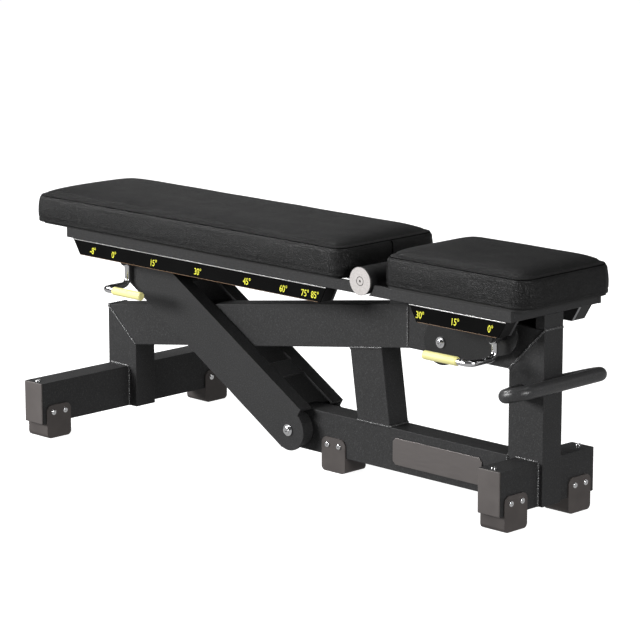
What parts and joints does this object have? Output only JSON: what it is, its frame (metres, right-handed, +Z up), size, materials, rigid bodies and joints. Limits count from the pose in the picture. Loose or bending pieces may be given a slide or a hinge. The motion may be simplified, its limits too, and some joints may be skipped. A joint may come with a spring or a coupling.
{
  "type": "adjustable weight bench",
  "caption": "Adjustable weight bench: steel frame on feet, hinged padded backrest held by a swinging arm, tilting seat, release levers and a lifting handle.",
  "frame": {"origin": "on the floor, at the centre of the bench's bounding box in plan", "axes": "+X towards the seat end and the lifting handle, -Y the side with the release levers, +Z up"},
  "size_m": [1.263, 0.5, 0.4625],
  "materials": {
    "frame_paint": "fine textured anthracite powder coat",
    "satin_black": "satin black powder coat",
    "foot_rubber": "warm dark grey moulded rubber",
    "cap_plastic": "warm grey moulded plastic",
    "leather": "black grained upholstery, low sheen",
    "board": "black painted board",
    "aluminium": "brushed end cap",
    "chrome": "polished plated steel",
    "steel": "ground steel",
    "gloss_black": "high-gloss black scale strip",
    "rack_black": "moulded black cover",
    "grip_yellow": "pale yellow vinyl grip",
    "badge": "plain satin plate",
    "bush": "plain bearing plastic"
  },
  "bodies": {
    "base": {"rear_post": "frame_paint", "back_beam": "frame_paint", "seat_beam": "frame_paint", "front_post": "frame_paint", "middle_post": "frame_paint", "lower_beam": "frame_paint", "rear_crossbeam_left": "frame_paint", "rear_crossbeam_right": "frame_paint", "front_crossbeam_left": "frame_paint", "front_crossbeam_right": "frame_paint", "crossbeam_end_caps": "cap_plastic", "frame_screws": "chrome", "foot_rear_left": "foot_rubber", "foot_rear_right": "foot_rubber", "foot_front_left": "foot_rubber", "foot_front_right": "foot_rubber", "foot_middle": "foot_rubber", "lift_handle": "satin_black", "seat_rest_block": "frame_paint", "badge_plate": "badge", "hinge_brackets": "frame_paint", "hinge_shaft": "steel", "arm_pivot_shaft": "steel", "arm_pivot_screws": "chrome", "seat_link_pivot_shaft": "steel", "seat_link_pivot_screws": "chrome"},
    "backrest": {"back_pad": "leather", "back_board": "board", "back_rails": "frame_paint", "back_head_bar": "frame_paint", "back_cross_bars": "frame_paint", "back_racks": "steel", "back_rack_covers": "rack_black", "back_scale_plates": "gloss_black", "hinge_sleeves": "satin_black", "hinge_bushes": "bush", "hinge_caps": "aluminium"},
    "support_arm": {"arm_sides": "frame_paint", "arm_hubs": "frame_paint", "arm_tie": "frame_paint", "arm_web": "frame_paint", "arm_tip_pin": "satin_black"},
    "back_lever": {"back_lever_rod": "chrome", "back_lever_grip": "grip_yellow"},
    "seat_carriage": {"seat_slide_pin": "steel", "seat_slide_washers": "steel"},
    "seat": {"seat_pad": "leather", "seat_board": "board", "seat_rails": "frame_paint", "seat_front_bar": "frame_paint", "seat_lugs": "frame_paint", "seat_racks": "steel", "seat_rack_covers": "rack_black", "seat_scale_plates": "gloss_black"},
    "seat_link": {"seat_link_plates": "satin_black", "seat_link_hubs": "satin_black", "seat_link_spacer": "satin_black", "seat_link_pins": "satin_black"},
    "seat_lever": {"seat_lever_rod": "chrome", "seat_lever_grip": "grip_yellow"}
  },
  "joints": [
    {"name": "back_tilt", "type": "hinge", "parent": "base", "child": "backrest", "pos_m": [0.253, 0, 0.396], "axis": [0, 1, 0], "range_deg": [-8, 85]},
    {"name": "arm_swing", "type": "hinge", "parent": "base", "child": "support_arm", "pos_m": [0.005, 0, 0.07], "axis": [0, 1, 0], "range_deg": [-9, 85]},
    {"name": "back_release", "type": "hinge", "parent": "support_arm", "child": "back_lever", "pos_m": [-0.4267, 0, 0.332], "axis": [0, -1, 0], "range_deg": [0, 15], "stiffness_Nm_per_rad": 0.8, "springref_deg": -28.65},
    {"name": "seat_tilt", "type": "hinge", "parent": "seat_carriage", "child": "seat", "pos_m": [0.298, 0, 0.368], "axis": [0, -1, 0], "range_deg": [0, 30]},
    {"name": "seat_slide", "type": "slide", "parent": "base", "child": "seat_carriage", "axis": [1, 0, 0], "range_m": [0, 0.0701]},
    {"name": "seat_link_swing", "type": "hinge", "parent": "base", "child": "seat_link", "pos_m": [0.374, 0, 0.292], "axis": [0, -1, 0], "range_deg": [0, 30]},
    {"name": "seat_release", "type": "hinge", "parent": "seat_link", "child": "seat_lever", "pos_m": [0.517, 0, 0.325], "axis": [0, 1, 0], "range_deg": [0, 15], "stiffness_Nm_per_rad": 0.8, "springref_deg": -28.65}
  ],
  "couplings": [
    {"joint": "arm_swing", "follows": "back_tilt", "ratio": 0.9236},
    {"joint": "seat_slide", "follows": "seat_tilt", "m_per_rad": 0.1336},
    {"joint": "seat_link_swing", "follows": "seat_tilt", "ratio": 0.9}
  ]
}
